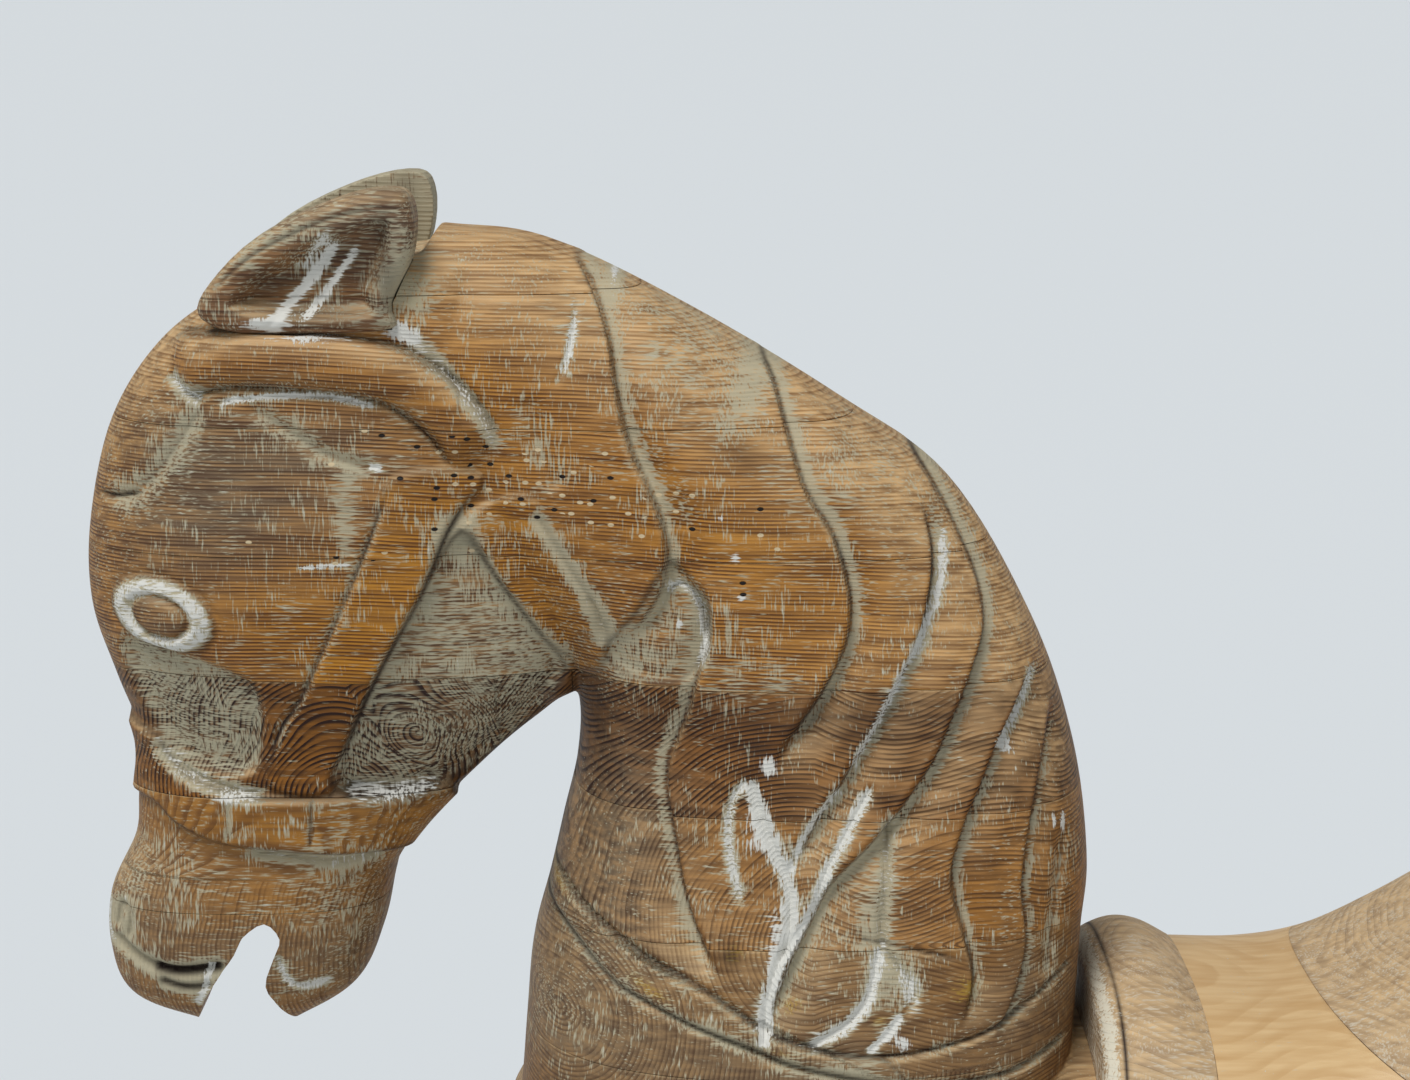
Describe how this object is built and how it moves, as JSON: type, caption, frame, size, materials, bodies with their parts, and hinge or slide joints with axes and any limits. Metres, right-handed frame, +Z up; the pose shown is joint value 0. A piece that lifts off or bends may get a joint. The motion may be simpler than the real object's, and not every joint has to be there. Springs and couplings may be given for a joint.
{
  "type": "carved wooden horse",
  "caption": "Carved laminated pine horse with arched neck, flowing mane, carved bridle and pale saddle, standing on a board plinth.",
  "frame": {"origin": "middle of the plinth board's underside, on the floor", "axes": "+Z up, the horse faces -X, its near (left) side is -Y"},
  "size_m": [0.9635, 0.3, 0.984],
  "materials": {
    "carved_pine": "bare carved pine, limed, with old orange and white paint left in the grain",
    "weathered_pine": "greyed carved pine with traces of white paint",
    "ear_pine": "worn pine, dark in the hollow with white streaks",
    "new_pine": "pale newer pine, planed and waxed",
    "limed_pine": "pale greyed pine with worn cream paint",
    "plinth_pine": "dark waxed pine",
    "dowel_birch": "plain turned birch",
    "screw_steel": "plain steel"
  },
  "bodies": {
    "root": {"back_board": "carved_pine", "belly_board": "carved_pine", "brow_board": "carved_pine", "cantle": "limed_pine", "cheek_board": "carved_pine", "chest_block": "carved_pine", "collar_board": "weathered_pine", "crown_board": "carved_pine", "eye_board": "carved_pine", "forehead_board": "carved_pine", "middle_neck_board": "carved_pine", "muzzle_board": "weathered_pine", "near_ear": "ear_pine", "near_flank_board": "carved_pine", "near_fore_hoof_screw": "screw_steel", "near_fore_knee_dowel": "dowel_birch", "near_fore_leg_dowel": "dowel_birch", "near_fore_lower_leg": "weathered_pine", "near_fore_upper_leg": "carved_pine", "near_hind_hoof_screw": "screw_steel", "near_hind_knee_dowel": "dowel_birch", "near_hind_leg_dowel": "dowel_birch", "near_hind_lower_leg": "weathered_pine", "near_hind_upper_leg": "carved_pine", "noseband_board": "weathered_pine", "off_ear": "ear_pine", "off_flank_board": "carved_pine", "off_fore_hoof_screw": "screw_steel", "off_fore_knee_dowel": "dowel_birch", "off_fore_leg_dowel": "dowel_birch", "off_fore_lower_leg": "weathered_pine", "off_fore_upper_leg": "carved_pine", "off_hind_hoof_screw": "screw_steel", "off_hind_knee_dowel": "dowel_birch", "off_hind_leg_dowel": "dowel_birch", "off_hind_lower_leg": "weathered_pine", "off_hind_upper_leg": "carved_pine", "plinth_board": "plinth_pine", "pommel": "limed_pine", "rump_block": "carved_pine", "seat": "new_pine", "tail": "carved_pine", "upper_neck_board": "carved_pine"}
  },
  "joints": []
}
